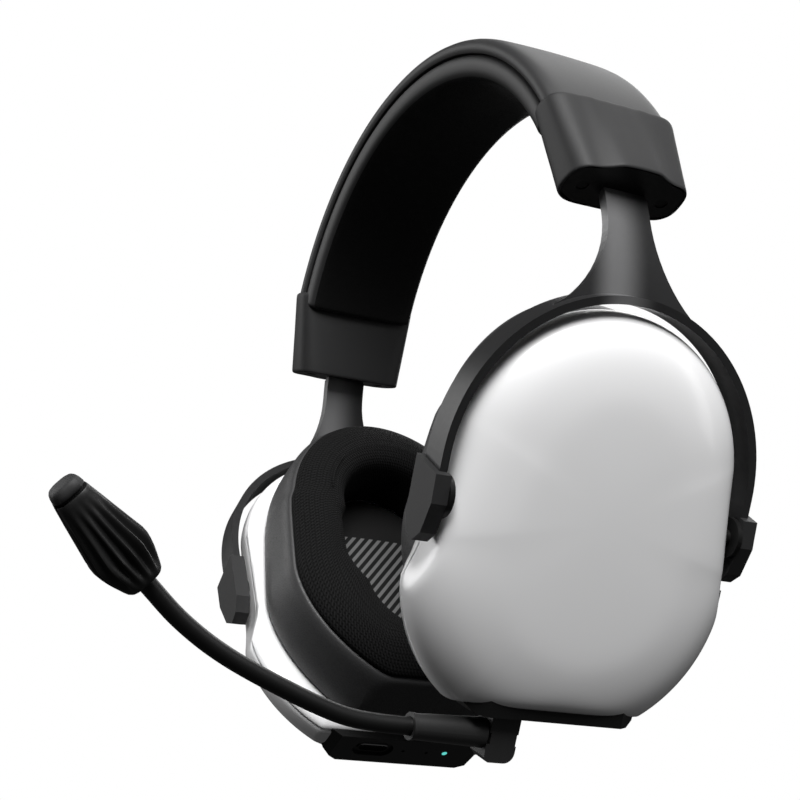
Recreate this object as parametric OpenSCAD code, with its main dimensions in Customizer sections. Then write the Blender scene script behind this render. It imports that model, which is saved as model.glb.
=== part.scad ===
// Wireless over-ear gaming headset with a detachable boom microphone.
// +X is the wearer's left, -Y is the front, +Z is up. The origin is the
// centre of the headband pad's underside, where the headset hangs or sits.

/* [Headband] */
// Radius of the headband's outer skin about the centre of its arc
band_r = 83.4; // [82:0.2:85]
// Radius of the pad's underside about the same centre
pad_r = 71.2; // [70.5:0.2:72]
// Radius of the seam between the outer cover and the pad
seam_r = 78.4; // [78:0.1:78.8]
// Width of the headband from front to rear
band_w = 36; // [34:0.5:37]
// Angle above the horizontal at which each end of the headband stops
band_end = 27; // [26:0.5:29]
// Width of the sprung steel band inside the cover
spring_w = 20; // [14:1:24]
// Thickness of the sprung steel band
spring_t = 1; // [0.6:0.1:1.2]

/* [End caps] */
// Lean of the end caps and sliders, outward going down
cap_lean = 16; // [14:0.5:18]
// Height of an end cap along its slider
cap_h = 24; // [22:0.5:26]
// How far each slider pulls out of its end cap
extend_travel = 16; // [8:1:16]
// Width of the slider blade
blade_w = 11.6; // [10:0.2:12]
// Thickness of the slider blade
blade_t = 2; // [1.6:0.1:2.2]
// Length of the blade inside the end cap when it is pushed in
blade_in = 25; // [22:0.5:25.5]

/* [Yokes] */
// Outer radius of a yoke's arch
arch_r = 42.4; // [42:0.1:43]
// Thickness of a yoke's arch, measured from the cup outwards
arch_t = 2; // [1.6:0.1:2.2]
// Depth of a yoke's arch, measured across the head
arch_d = 8; // [6:0.5:9]
// Radius of the fillets where the stem flares into the arch
stem_flare = 30; // [28:0.5:34]
// Distance from the middle of the cup to the front of its pivot block
block_out = 44; // [43.5:0.1:44.5]
// Radius of the pivot pins
pin_r = 2; // [1.8:0.05:2.2]

/* [Ear cups] */
// Angle that each ear cup leans, top outward
cup_splay = 25.4; // [23:0.2:27]
// Distance from the middle of the head to the back plate of each cup
cup_x = 55; // [53:0.5:57]
// Height of the cups' reference below the headband pad
ear_drop = 119.8; // [118:0.2:122]
// Radius of the upper part of a cup's outline
cup_top_r = 38.5; // [38:0.1:38.8]
// Radius of the lower part of a cup's outline
cup_low_r = 39; // [38:0.2:40]
// Level of a cup's flat bottom below the reference
cup_bottom = 54; // [53:0.5:55]
// Depth of the outer shell's dome
shell_d = 14.8; // [14:0.2:16]
// Wall of the outer shell
shell_wall = 2; // [1.6:0.1:2.4]
// Depth of the ear cushion, out to its face
cushion_d = 24; // [22:0.5:26]
// Radius of the speaker driver
driver_r = 20; // [18:0.5:20]

/* [Microphone] */
// Radius of the boom
boom_r = 2.15; // [1.8:0.05:2.5]
// Radius of the capsule at its widest
capsule_r = 7; // [6:0.5:8]
// Length of the capsule
capsule_l = 31; // [28:1:34]
// Radius of the plug that goes into the ear cup
plug_r = 1.75; // [1.6:0.05:1.8]

/* [Hidden] */
FIT = 0.05;
GAP = 0.3;
// the arc of the headband and the sliders lies about this height
arc_z = -pad_r;
// the slot under the end cap, where the slider comes out
slot_r = 77.8;
slot_a = 12.6;
slot_x = slot_r * cos(slot_a);
slot_z = arc_z + slot_r * sin(slot_a);
// pivot of the cup, in the cup's own frame: x outward, y to the rear, z up
pivot_u = 6.5;
pivot_w = -7.5;
arch_w = 2.2;
arch_u = 0.5;
// outline of a cup: an upper arc, a lower arc each side and a flat bottom
low_v = 3.7;
low_w = -22;
corner_r = 2.5;
// the ear opening: two arcs joined by straight sides
ear_top = [0, 6.5, 17];
ear_low = [0, -19, 15];
// the plinth under a cup
plinth_u0 = -0.6;
plinth_u1 = 10.3;
plinth_w = -55.8;
plinth_half = 20.5;
plinth_end = 25;
plinth_top = -50.5;
// the microphone's plug and boom
mic_u = 4.5;
mic_v = -11.5;
arm_w = -60.9;
barrel_front = -34.5;
// centre line of the boom, front to rear distance and height, from the barrel to the capsule
boom_path = [[-34.5, -60.9], [-43, -60.7], [-51, -59.8], [-59, -57.6], [-67, -54.8],
    [-75, -51.8], [-82, -48.8], [-88.5, -45.4], [-95, -41.2], [-101, -36.4]];
bend_at = 5;
capsule_a = atan2(19, 23);
// controls on the rear edge of the cups
wheel_v = 34.5;
wheel_w = -35;
wheel_r = 7;
key_w = -23.5;
key_out = 43.1;

headband_nodes = ["headband_cover", "headband_pad", "spring_band", "band_cable", "cap_screws"];
pair_nodes = ["end_cap", "slot_plate", "detent_spring", "yoke", "pivot_blocks", "pivot_pins",
    "cup_shell", "cup_housing", "plinth", "housing_screws", "driver_frame", "driver_magnet",
    "driver_diaphragm", "ear_cloth", "cushion_ring", "cushion_foam", "cushion_side", "cushion_face"];
mic_nodes = ["mic_socket", "mic_plug", "mic_elbow", "mic_barrel", "mic_boom_lower",
    "mic_boom_upper", "mic_capsule", "mic_tip", "mic_element"];
control_nodes = ["volume_wheel", "mute_button", "power_button", "control_board", "usb_socket",
    "charge_light", "battery"];
$fn = 64;

black = "#151515";
charcoal = "#3c3c3d";
graphite = "#58585a";
satin = "#7d7d80";
white = "#f2f2f2";

// ---- frames ----

// revolves a section (radius, -y) about the headband's arc
module about_arc(a0, a1) {
    translate([0, 0, arc_z])
        rotate([90, 0, 0])
            rotate_extrude(start = a0, angle = a1 - a0, $fn = 180)
                children();
}

// frame of the left end cap: x outward, z up along the slider, origin at the slot
module cap_frame() {
    translate([slot_x, 0, slot_z])
        rotate([0, -cap_lean, 0])
            children();
}

// frame of the left ear cup: x outward, y to the rear, z up
module cup_frame() {
    translate([cup_x, 0, -ear_drop])
        rotate([0, cup_splay, 0])
            children();
}

// an outline drawn in (y, z), extruded along x
module along_x(x0, x1) {
    translate([x0, 0, 0])
        rotate([90, 0, 90])
            linear_extrude(x1 - x0)
                children();
}

// an outline drawn in (x, z), extruded along y
module along_y(y0, y1) {
    translate([0, y1, 0])
        rotate([90, 0, 0])
            linear_extrude(y1 - y0)
                children();
}

// a cylinder along y through (x, z)
module pin_y(x, z, r, y0, y1) {
    translate([x, y0, z])
        rotate([-90, 0, 0])
            cylinder(h = y1 - y0, r = r);
}

// a cylinder along x through (y, z)
module pin_x(y, z, r, x0, x1) {
    translate([x0, y, z])
        rotate([0, 90, 0])
            cylinder(h = x1 - x0, r = r);
}

module both_ends() {
    children();
    mirror([0, 1, 0])
        children();
}

// ---- outlines ----

function arc(c, r, a0, a1, n) = [for (i = [0:n]) c + r * [cos(a0 + (a1 - a0) * i / n), sin(a0 + (a1 - a0) * i / n)]];
function mirrored(half) = concat(half, [for (i = [len(half) - 1:-1:0]) [-half[i][0], half[i][1]]]);
// direction square to the straight line that joins the arcs a and b, each [y, z, radius]
function tangent(a, b) = atan2(b[1] - a[1], b[0] - a[0]) - acos((a[2] - b[2]) / norm([b[0] - a[0], b[1] - a[1]]));

// outline of a cup inset by d all round and by b at its flat bottom
function cup_half(d, b) =
    let (rt = cup_top_r - d,
         rl = cup_low_r - d,
         cw = -cup_bottom + b + corner_r,
         cv = low_v + sqrt(pow(rl - corner_r, 2) - pow(cw - low_w, 2)),
         turn = atan2(cw - low_w, cv - low_v),
         side = tangent([low_v, low_w, rl], [0, arch_w, rt]))
    concat(arc([cv, cw], corner_r, -90, turn, 4),
           arc([low_v, low_w], rl, turn, side, 10),
           arc([0, arch_w], rt, side, 90, 14));

module cup_outline(d = 0, b = 0) {
    polygon(mirrored(cup_half(d, b)));
}

// outline of the ear opening, grown by d
function ear_half(d) =
    let (side = tangent([0, ear_low[1], ear_low[2] + d], [0, ear_top[1], ear_top[2] + d]))
    concat(arc([0, ear_low[1]], ear_low[2] + d, -90, side, 12),
           arc([0, ear_top[1]], ear_top[2] + d, side, 90, 12));

module ear_outline(d = 0) {
    polygon(mirrored(ear_half(d)));
}

// a closed form through thin slices of the cup's outline: each is [x, inset, bottom inset, rise]
module through_slices(slices) {
    hull()
        for (s = slices)
            along_x(s[0] - 0.01, s[0] + 0.01)
                translate([0, s[3]])
                    cup_outline(s[1], s[2]);
}

// ---- headband ----

// one half of the headband's section, with rounded corners on its outer side
module rounded_section(r0, r1, half, round_r) {
    intersection() {
        union() {
            translate([r0, -half])
                square([r1 - r0 - round_r, 2 * half]);
            translate([r0, -half + round_r])
                square([r1 - r0, 2 * (half - round_r)]);
            for (s = [-1, 1])
                translate([r1 - round_r, s * (half - round_r)])
                    circle(r = round_r);
        }
        translate([r0, -half])
            square([r1 - r0, 2 * half]);
    }
}

// clear way for the slider blade and the end cap's inner parts
module blade_way() {
    cap_frame()
        translate([-blade_t / 2 - 0.8 - 0.5, -blade_w / 2 - 0.5, -1])
            cube([blade_t + 1, blade_w + 1, blade_in + 3]);
}

module headband_cover() {
    color(charcoal)
        difference() {
            about_arc(band_end, 180 - band_end)
                difference() {
                    rounded_section(seam_r, band_r, band_w / 2, 4);
                    translate([seam_r - 1, -spring_w / 2 - 2.6])
                        square([1 + spring_t + 0.2, spring_w + 3.2]);
                }
            blade_way();
            mirror([1, 0, 0])
                blade_way();
        }
}

module headband_pad() {
    half = band_w / 2 - 0.8;
    round_r = 4;
    color(black)
        difference() {
            about_arc(band_end, 180 - band_end)
                intersection() {
                    union() {
                        translate([pad_r + round_r, -half])
                            square([seam_r - pad_r - round_r, 2 * half]);
                        translate([pad_r, -half + round_r])
                            square([seam_r - pad_r, 2 * (half - round_r)]);
                        for (s = [-1, 1])
                            translate([pad_r + round_r, s * (half - round_r)])
                                circle(r = round_r);
                    }
                    translate([pad_r, -half])
                        square([seam_r - pad_r, 2 * half]);
                }
            blade_way();
            mirror([1, 0, 0])
                blade_way();
        }
}

// sprung steel strip that gives the headband its grip
module spring_band() {
    color("silver")
        about_arc(band_end + 10, 170 - band_end)
            translate([seam_r + 0.1, -spring_w / 2])
                square([spring_t, spring_w]);
}

// signal lead between the cups, in its groove beside the spring
module band_cable() {
    color("#303030")
        about_arc(band_end + 10, 170 - band_end)
            translate([seam_r + 0.62, -spring_w / 2 - 1.5])
                circle(r = 0.5);
}

// ---- end caps ----

// outline of the end cap at height z, in (x, y): x outward
function cap_half(z, d) =
    let (k = z / cap_h,
         w0 = 16.4 + 2.1 * k,
         crown = 9 - 4 * k,
         face = 6.6 - 1.6 * k,
         back = -7.4 + 1.8 * k)
    [[back + d, 0], [back + d, 11.5 + 2 * k - d], [-4.8 + d, w0 - d], [3.6 - 2 * k, w0 - d],
     [face - 0.6 - d, 13.6 + k - d], [face - d, 10], [crown - 0.4 - d, 5.5], [crown - d, 0]];

module cap_outline(z, d = 0) {
    half = cap_half(z, d);
    polygon(concat(half, [for (i = [len(half) - 2:-1:1]) [half[i][0], -half[i][1]]]));
}

module cap_body(d, z0, z1) {
    hull() {
        translate([0, 0, z0])
            linear_extrude(0.02)
                cap_outline(0, d);
        translate([0, 0, z1 - 0.02])
            linear_extrude(0.02)
                cap_outline(cap_h, d);
    }
}

cap_screw_x = -0.8;
cap_screw_y = 11.2;
plate_t = 2;
// the plate's thin rim, which nearly fills the cap's outline
plate_rim = 1.3;
plate_inset = 0.75;

module end_cap() {
    color(graphite)
        difference() {
            union() {
                difference() {
                    cap_frame()
                        cap_body(0, 0, cap_h);
                    cap_frame() {
                        cap_body(1.6, -1, cap_h - 7);
                        translate([0, 0, -1])
                            linear_extrude(1 + plate_rim + FIT)
                                cap_outline(0, plate_inset - FIT);
                    }
                }
                for (s = [-1, 1])
                    cap_frame()
                        translate([cap_screw_x, s * cap_screw_y, plate_t + 0.3])
                            cylinder(h = cap_h - 9, r = 2);
            }
            // seat for the end of the headband
            about_arc(band_end - 0.3, band_end + 20)
                translate([pad_r - 0.1, -band_w / 2 - 0.1])
                    square([band_r - pad_r + 0.2, band_w + 0.2]);
            blade_way();
            for (s = [-1, 1])
                cap_frame()
                    translate([cap_screw_x, s * cap_screw_y, 2])
                        cylinder(h = 8, r = 0.8);
        }
}

// black insert that closes the cap and guides the slider
module slot_plate() {
    color(black)
        cap_frame()
            difference() {
                union() {
                    translate([0, 0, 0.15])
                        linear_extrude(plate_rim - 0.15)
                            cap_outline(0, plate_inset);
                    translate([0, 0, 0.2])
                        linear_extrude(plate_t)
                            cap_outline(0, 2.6);
                    for (s = [-1, 1])
                        translate([-4, s * 7.3 - 1.4, plate_t])
                            cube([6.4, 2.8, 11]);
                }
                translate([-blade_t / 2 - 0.8 - FIT, -blade_w / 2 - FIT, -1])
                    cube([blade_t + 2 * FIT, blade_w + 2 * FIT, 40]);
                for (s = [-1, 1])
                    translate([cap_screw_x, s * cap_screw_y, -1]) {
                        cylinder(h = 5, r = 0.9);
                        cylinder(h = 2.2, r = 1.6);
                    }
            }
}

// leaf spring whose bump drops into the notches of the blade
module detent_spring() {
    x0 = blade_t / 2 - 0.8 + GAP;
    color("silver")
        cap_frame()
            union() {
                translate([x0, -4, 3])
                    cube([0.4, 8, 11]);
                translate([x0, -5.8, 10])
                    cube([0.4, 11.6, 3]);
            }
}

module cap_screws() {
    color("#2a2a2a")
        for (m = [0, 1])
            mirror([m, 0, 0])
                cap_frame()
                    for (s = [-1, 1])
                        translate([cap_screw_x, s * cap_screw_y, 1.2])
                            union() {
                                cylinder(h = 7, r = 0.78);
                                translate([0, 0, -0.8])
                                    cylinder(h = 0.8, r = 1.5);
                            }
}

// ---- yoke ----

stem_top = slot_z - 0.9;
stem_t = blade_t + 0.6;
flare_top = slot_z - 6.5;
flare_low = flare_top - 26;

// outline of the stem in (y, z), with its flare into the arch
module stem_outline() {
    half = blade_w / 2 + 0.2;
    turn = asin((flare_top - flare_low) / stem_flare);
    flare = [for (i = [12:-1:0])
        let (a = turn * i / 12)
        [half + stem_flare * (1 - cos(a)), flare_top - stem_flare * sin(a)]];
    polygon(mirrored(concat([[flare[0][0], flare_low - 4]], flare, [[half, stem_top]])));
}

module yoke() {
    color(satin)
        union() {
            // slider blade, straight inside the cap
            cap_frame()
                difference() {
                    translate([-blade_t / 2 - 0.8, -blade_w / 2, -3])
                        cube([blade_t, blade_w, blade_in + 3]);
                    for (i = [0:4])
                        translate([blade_t / 2 - 0.8, 0, 5 + i * 4])
                            rotate([90, 0, 0])
                                cylinder(h = 6, r = 0.5, center = true, $fn = 24);
                }
            // stem, a plate on the same arc as the headband
            difference() {
                intersection() {
                    about_arc(-30, slot_a + 1)
                        translate([slot_r - stem_t / 2 - 0.8, -30])
                            square([stem_t, 60]);
                    along_x(0, 100)
                        stem_outline();
                }
                cup_frame()
                    pin_x(0, arch_w, arch_r - arch_t / 2, -20, 30);
            }
            // arch over the cup
            cup_frame()
                along_x(arch_u, arch_u + arch_d)
                    union() {
                        difference() {
                            translate([0, arch_w])
                                circle(r = arch_r, $fn = 180);
                            translate([0, arch_w])
                                circle(r = arch_r - arch_t, $fn = 180);
                            translate([-60, arch_w - 60])
                                square([120, 60]);
                        }
                        for (s = [-1, 1])
                            translate([s * (arch_r - arch_t / 2) - arch_t / 2, -4])
                                square([arch_t, arch_w + 4]);
                    }
        }
}

block_in = 40;
// floor of the pocket in the cup, behind the block
pocket_y = block_in - 1.4;

module block_outline() {
    polygon([[-0.9, 0.4], [-0.4, -13], [1.8, -17], [5.2, -18.4], [8.4, -16], [10.8, -9], [10.4, -2.4]]);
}

// covers clipped over the ends of the arch, which hold the pivot pins
module pivot_blocks() {
    color(graphite)
        cup_frame()
            both_ends()
                difference() {
                    along_y(block_in, block_out)
                        block_outline();
                    translate([arch_u, block_in - 1, -4])
                        cube([arch_d, arch_r - block_in + 1, 10]);
                    pin_y(pivot_u, pivot_w, pin_r + 0.02, block_in - 1, block_out - 0.9);
                }
}

module pivot_pins() {
    color("#404040")
        cup_frame()
            both_ends()
                union() {
                    pin_y(pivot_u, pivot_w, pin_r, 34.8, block_out - 1);
                    pin_y(pivot_u, pivot_w, 5, pocket_y + 0.1, block_in - 0.02);
                }
}

// ---- ear cup ----

dome = [[0, 0.4, 0.6, 0], [0.24 * shell_d, 0, 0, 0], [0.5 * shell_d, 2.2, 0.3, 0], [0.74 * shell_d, 6, 1.2, 0],
    [0.91 * shell_d, 12, 5, 0], [shell_d, 22, 17, 0]];

module dome_body() {
    through_slices(dome);
}

module dome_hollow() {
    through_slices([for (s = dome) [s[0] == 0 ? -1 : s[0] - shell_wall * s[0] / shell_d,
        s[1] + shell_wall, s[2] + shell_wall, 0]]);
}

// room round the pivot for the block and the end of the arch
module pivot_pocket() {
    both_ends()
        pin_y(pivot_u, pivot_w, 11.8, pocket_y, 50);
}

module plinth_outline(d = 0) {
    polygon([[-plinth_end - d, plinth_top], [-plinth_end - d, plinth_w + 3.6], [-plinth_half - d, plinth_w],
        [plinth_half + d, plinth_w], [plinth_end + d, plinth_w + 3.6], [plinth_end + d, plinth_top]]);
}

// the plinth seen from below, in (x, y)
module plinth_plan() {
    polygon([[-5, -26], [3, -26], [7.5, -22.5], [plinth_u1 + 1, -16.5], [plinth_u1 + 1, 16.5], [7.5, 22.5],
        [3, 26], [-5, 26]]);
}

module cup_shell(left) {
    color(white)
        cup_frame()
            difference() {
                union() {
                    difference() {
                        dome_body();
                        dome_hollow();
                        pivot_pocket();
                    }
                    // bosses for the pivot pins and the housing screws
                    both_ends()
                        pin_y(pivot_u, pivot_w, 4, 34, pocket_y);
                    intersection() {
                        dome_body();
                        for (p = screw_places)
                            pin_x(p[0], p[1], 2.6, 0.4, shell_d);
                    }
                }
                both_ends()
                    pin_y(pivot_u, pivot_w, pin_r + FIT, 33, 50);
                for (p = screw_places)
                    pin_x(p[0], p[1], 1, -1, 7);
                along_x(-1, plinth_u1 + 0.02)
                    plinth_outline(0.02);
                // window for the key on the rear edge
                translate([1, 36, key_w - 2.7])
                    cube([2.6, 10, 5.4]);
                if (left)
                    translate([0.5, wheel_v, wheel_w - wheel_r - 0.4])
                        cube([3, 12, 2 * wheel_r + 0.8]);
            }
}

screw_places = [[26, 17], [-26, 17], [30, -24], [-30, -24]];
plate_u = -3;

module cup_housing(left) {
    color(black)
        cup_frame()
            difference() {
                union() {
                    along_x(plate_u, -0.02)
                        cup_outline(0.8, 1.2);
                    if (left)
                        pin_x(wheel_v, wheel_w, 1.4, -0.1, 4.4);
                }
                pin_x(0, -6, driver_r - 2, -10, 10);
                along_x(-1.5, 1)
                    translate([0, -6])
                        circle(r = driver_r + FIT);
                pivot_pocket();
                for (p = screw_places)
                    pin_x(p[0], p[1], 1.15, -10, 1);
                for (p = screw_places)
                    pin_x(p[0], p[1], 2, -10, -1.6);
                along_x(plinth_u0 - 0.02, 1)
                    plinth_outline(0.02);
            }
}

module plinth(left) {
    color(black)
        cup_frame()
            difference() {
                intersection() {
                    along_x(plinth_u0, plinth_u1)
                        plinth_outline();
                    // its outer corners follow the shell
                    translate([0, 0, plinth_w - 1])
                        linear_extrude(10)
                            plinth_plan();
                }
                if (left) {
                    translate([mic_u, mic_v, plinth_w - 1])
                        cylinder(h = 10, r = plug_r + 1.3);
                }
                else {
                    port_hole(usb_w / 2 + 0.02, usb_h / 2 + 0.02, plinth_w + 0.4, 0);
                    port_hole(5.8, 2.9, plinth_w - 1, plinth_w + 0.8);
                    for (y = [-0.5, 6.5])
                        translate([4.2, y, plinth_w - 1])
                            cylinder(h = 1.5, r = 0.45, $fn = 24);
                    translate([3.8, 11.9, plinth_w - 1])
                        cylinder(h = 10, r = 0.75);
                }
            }
}

module housing_screws() {
    color("#2a2a2a")
        cup_frame()
            for (p = screw_places) {
                union() {
                    pin_x(p[0], p[1], 1, -1.6, 6);
                    pin_x(p[0], p[1], 1.9, -2.7, -1.6);
                }
            }
}

module driver_frame() {
    color("#202428")
        cup_frame()
            difference() {
                union() {
                    pin_x(0, -6, driver_r, -1.4, 0.6);
                    pin_x(0, -6, driver_r - 3, 0.5, 4);
                }
                pin_x(0, -6, driver_r - 4.5, -2, 2.8);
                pin_x(0, -6, driver_r - 7.4, 2, 5);
            }
}

module driver_magnet() {
    color("silver")
        cup_frame()
            pin_x(0, -6, driver_r - 7.5, 1.6, 7.5);
}

module driver_diaphragm() {
    color("#c9b27a")
        cup_frame()
            pin_x(0, -6, driver_r - 4.6, -0.9, -0.6);
}

// ---- ear cushion ----

side_t = 1.2;
lip = cushion_d - 2;

// the cushion's form, inset by d all round, from its back at x = back to its lip
function cushion_slices(d, back, lip_more) = [[back, 1.2 + d, 1.6 + d, 0.6],
    [-0.4 * cushion_d, 2.4 + d, 1.2 + d, 2], [-0.62 * cushion_d, 4 + d, 0.6 + d, 3.4],
    [-0.8 * cushion_d, 6.2 + d, 1.6 + d, 3.8], [-lip - lip_more, 9.6 + d, 4.6 + d, 4]];

module cushion_side() {
    color(charcoal)
        cup_frame()
            difference() {
                through_slices(cushion_slices(0, -3.3, 0));
                through_slices(cushion_slices(side_t, -3, 0.2));
            }
}

module cushion_face() {
    color(black)
        cup_frame()
            difference() {
                union() {
                    difference() {
                        through_slices([[-lip + 1, 11, 6, 4], [-cushion_d + 0.6, 12.6, 7.6, 4],
                            [-cushion_d, 15, 10, 3]]);
                        along_x(-lip + 0.2, 0)
                            ear_outline(20);
                    }
                    along_x(-lip, -5)
                        ear_outline(1.2);
                }
                along_x(-30, 0)
                    ear_outline(0);
            }
}

module cushion_foam() {
    color("#555555")
        cup_frame()
            difference() {
                through_slices(cushion_slices(side_t + 0.6, -4.9, -0.4));
                along_x(-30, 0)
                    ear_outline(1.25);
            }
}

// plastic ring that clips the cushion to the cup
module cushion_ring() {
    color("#101010")
        cup_frame()
            difference() {
                along_x(-4.8, -3.2)
                    translate([0, 0.8])
                        cup_outline(side_t + 2.2, 5);
                along_x(-30, 0)
                    ear_outline(1.25);
            }
}

// speaker cloth that spans the opening
module ear_cloth() {
    color("#1c1c1c")
        cup_frame()
            along_x(-4.9, -4.4)
                ear_outline(-0.1);
}

// ---- microphone ----

module mic_socket() {
    color("#b9bcc0")
        cup_frame()
            difference() {
                translate([mic_u, mic_v, plinth_w + 0.1])
                    cylinder(h = 15, r = plug_r + 1.2);
                translate([mic_u, mic_v, plinth_w - 1])
                    cylinder(h = 14.6, r = plug_r + FIT);
            }
}

module mic_plug() {
    color("#d4af37")
        cup_frame()
            translate([mic_u, mic_v, plinth_w - 3.9])
                union() {
                    cylinder(h = 14.7, r = plug_r);
                    translate([0, 0, 14.7])
                        cylinder(h = 1.4, r1 = plug_r, r2 = 0.7);
                }
}

elbow_half = 3.8;
elbow_low = -67;

// stepped elbow under the cup, which turns on the plug
module mic_elbow() {
    front = mic_v - elbow_half;
    rear = mic_v + elbow_half;
    top = plinth_w - GAP;
    color(black)
        cup_frame()
            difference() {
                along_x(mic_u - 3.4, mic_u + 3.4)
                    polygon(concat([[front, top], [front, -60], [front + 0.5, -60], [front + 0.5, -62.8],
                        [front - 0.3, -62.8], [front - 0.3, elbow_low + 1.2], [front + 0.9, elbow_low]],
                        arc([rear - 2.6, elbow_low + 2.6], 2.6, -90, 0, 6),
                        [[rear, -62.8], [rear - 0.3, -62.8], [rear - 0.3, -60], [rear, -60], [rear, top]]));
                translate([mic_u, mic_v, plinth_w - 4])
                    cylinder(h = 5, r = plug_r + FIT);
            }
}

// barrel that carries the boom, with a thin ring at its front
module mic_barrel() {
    color(black)
        cup_frame()
            difference() {
                translate([mic_u, barrel_front, arm_w])
                    rotate([-90, 0, 0])
                        union() {
                            cylinder(h = mic_v - elbow_half - 0.32 - barrel_front, r1 = 3, r2 = 3.6);
                            cylinder(h = 1, r = 3.2);
                        }
                translate([mic_u, barrel_front - 1, arm_w])
                    rotate([-90, 0, 0])
                        cylinder(h = 7, r = boom_r + 0.1);
            }
}

// tube along part of the boom's centre line, with its ends pushed out by the given lengths
module boom_tube(first, last, start_push, end_push) {
    sides = 12;
    path = boom_path;
    pts = [for (i = [first:last])
        let (ahead = path[min(i + 1, len(path) - 1)] - path[max(i - 1, 0)],
             t = ahead / norm(ahead),
             p = path[i] + (i == first ? -start_push * t : i == last ? end_push * t : [0, 0]),
             n = [-t[1], t[0]])
        for (k = [0:sides - 1])
            let (a = 360 * k / sides)
            [mic_u + boom_r * sin(a), p[0] + boom_r * cos(a) * n[0], p[1] + boom_r * cos(a) * n[1]]];
    rings = last - first + 1;
    faces = concat([[for (k = [0:sides - 1]) k]],
        [for (i = [0:rings - 2]) for (k = [0:sides - 1])
            [i * sides + k, (i + 1) * sides + k, (i + 1) * sides + (k + 1) % sides, i * sides + (k + 1) % sides]],
        [[for (k = [sides - 1:-1:0]) (rings - 1) * sides + k]]);
    polyhedron(points = pts, faces = faces, convexity = 6);
}

module mic_boom_lower() {
    color(black)
        cup_frame()
            boom_tube(0, bend_at, 5, -boom_r - 2 * GAP);
}

module mic_boom_upper() {
    color(black)
        cup_frame()
            union() {
                boom_tube(bend_at, len(boom_path) - 1, 0, 3);
                translate([mic_u, boom_path[bend_at][0], boom_path[bend_at][1]])
                    sphere(r = boom_r - 0.02, $fn = 24);
                // pin of the bend
                pin_x(boom_path[bend_at][0], boom_path[bend_at][1], 0.8, mic_u - boom_r - 0.2, mic_u + boom_r + 0.2);
            }
}

// frame of the capsule: z along it, from the boom to the tip
module capsule_frame() {
    tip = boom_path[len(boom_path) - 1];
    cup_frame()
        translate([mic_u, tip[0], tip[1]])
            rotate([90 - capsule_a, 0, 0])
                children();
}

module mic_capsule() {
    color(charcoal)
        capsule_frame()
            difference() {
                rotate_extrude()
                    polygon([[0, 0], [4.4, 0], [capsule_r - 1.4, 3], [capsule_r - 0.2, 9], [capsule_r, 11.5],
                        [capsule_r - 0.8, 16], [4.6, capsule_l - 6], [0, capsule_l - 6]]);
                translate([0, 0, -1])
                    cylinder(h = 4.2, r = boom_r + 0.1);
                translate([0, 0, 12])
                    cylinder(h = 6.1, r = 3.1);
                for (k = [0:9])
                    rotate([0, 0, 36 * k])
                        translate([capsule_r + 1.3, 0, 5])
                            cylinder(h = 14, r = 1.9, $fn = 24);
            }
}

module mic_tip() {
    color(graphite)
        capsule_frame()
            translate([0, 0, capsule_l - 5.9])
                rotate_extrude()
                    polygon(concat([[0, 0], [4.5, 0]],
                        [for (a = [0:15:90]) [2.2 + 1.6 * cos(a), 4.3 + 1.6 * sin(a)]], [[0, 5.9]]));
}

module mic_element() {
    color("silver")
        capsule_frame()
            translate([0, 0, 13])
                cylinder(h = 4, r = 3);
}

// ---- controls and electronics ----

module volume_wheel() {
    color(charcoal)
        cup_frame()
            difference() {
                pin_x(wheel_v, wheel_w, wheel_r, 0.9, 3.1);
                pin_x(wheel_v, wheel_w, 1.4 + FIT, 0, 4);
                for (k = [0:23])
                    pin_x(wheel_v + wheel_r * cos(15 * k), wheel_w + wheel_r * sin(15 * k), 0.35, 0, 4, $fn = 12);
            }
}

// sprung key in the rear edge, with a flange behind the wall
module rear_key() {
    cup_frame()
        union() {
            translate([1.15, 38.6, key_w - 2.5])
                cube([2.3, key_out - 38.6, 5]);
            translate([0.6, 37.4, key_w - 3.3])
                cube([3.4, 1.4, 6.6]);
        }
}

module mute_button() {
    color(graphite)
        rear_key();
}

module power_button() {
    color(graphite)
        mirror([1, 0, 0])
            rear_key();
}

module control_board() {
    color("#1f5a36")
        cup_frame()
            translate([8.4, -16, -38])
                cube([1.2, 32, 26]);
}

usb_w = 8.94;
usb_h = 3.26;
usb_v = -9.5;
usb_u = 4.3;

// rounded slot along y, cut upwards from w0 to w1
module port_hole(half_w, half_h, w0, w1) {
    translate([usb_u, usb_v, w0])
        linear_extrude(w1 - w0)
            union() {
                square([2 * half_h, 2 * (half_w - half_h)], center = true);
                for (s = [-1, 1])
                    translate([0, s * (half_w - half_h)])
                        circle(r = half_h);
            }
}

module usb_socket() {
    color("silver")
        mirror([1, 0, 0])
            cup_frame()
                difference() {
                    port_hole(usb_w / 2, usb_h / 2, plinth_w + 0.4, plinth_w + 7.6);
                    difference() {
                        port_hole(usb_w / 2 - 0.35, usb_h / 2 - 0.35, plinth_w, plinth_w + 6.6);
                        translate([usb_u - 0.35, usb_v - 3, plinth_w + 1.2])
                            cube([0.7, 6, 10]);
                    }
                }
}

module charge_light() {
    color("#66e0d0")
        mirror([1, 0, 0])
            cup_frame()
                translate([3.8, 11.9, plinth_w])
                    cylinder(h = 5, r = 0.73);
}

module battery() {
    color("#8e979e")
        mirror([1, 0, 0])
            cup_frame()
                translate([8, -17, -36])
                    cube([3.6, 34, 22]);
}

// ---- nodes ----

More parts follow.
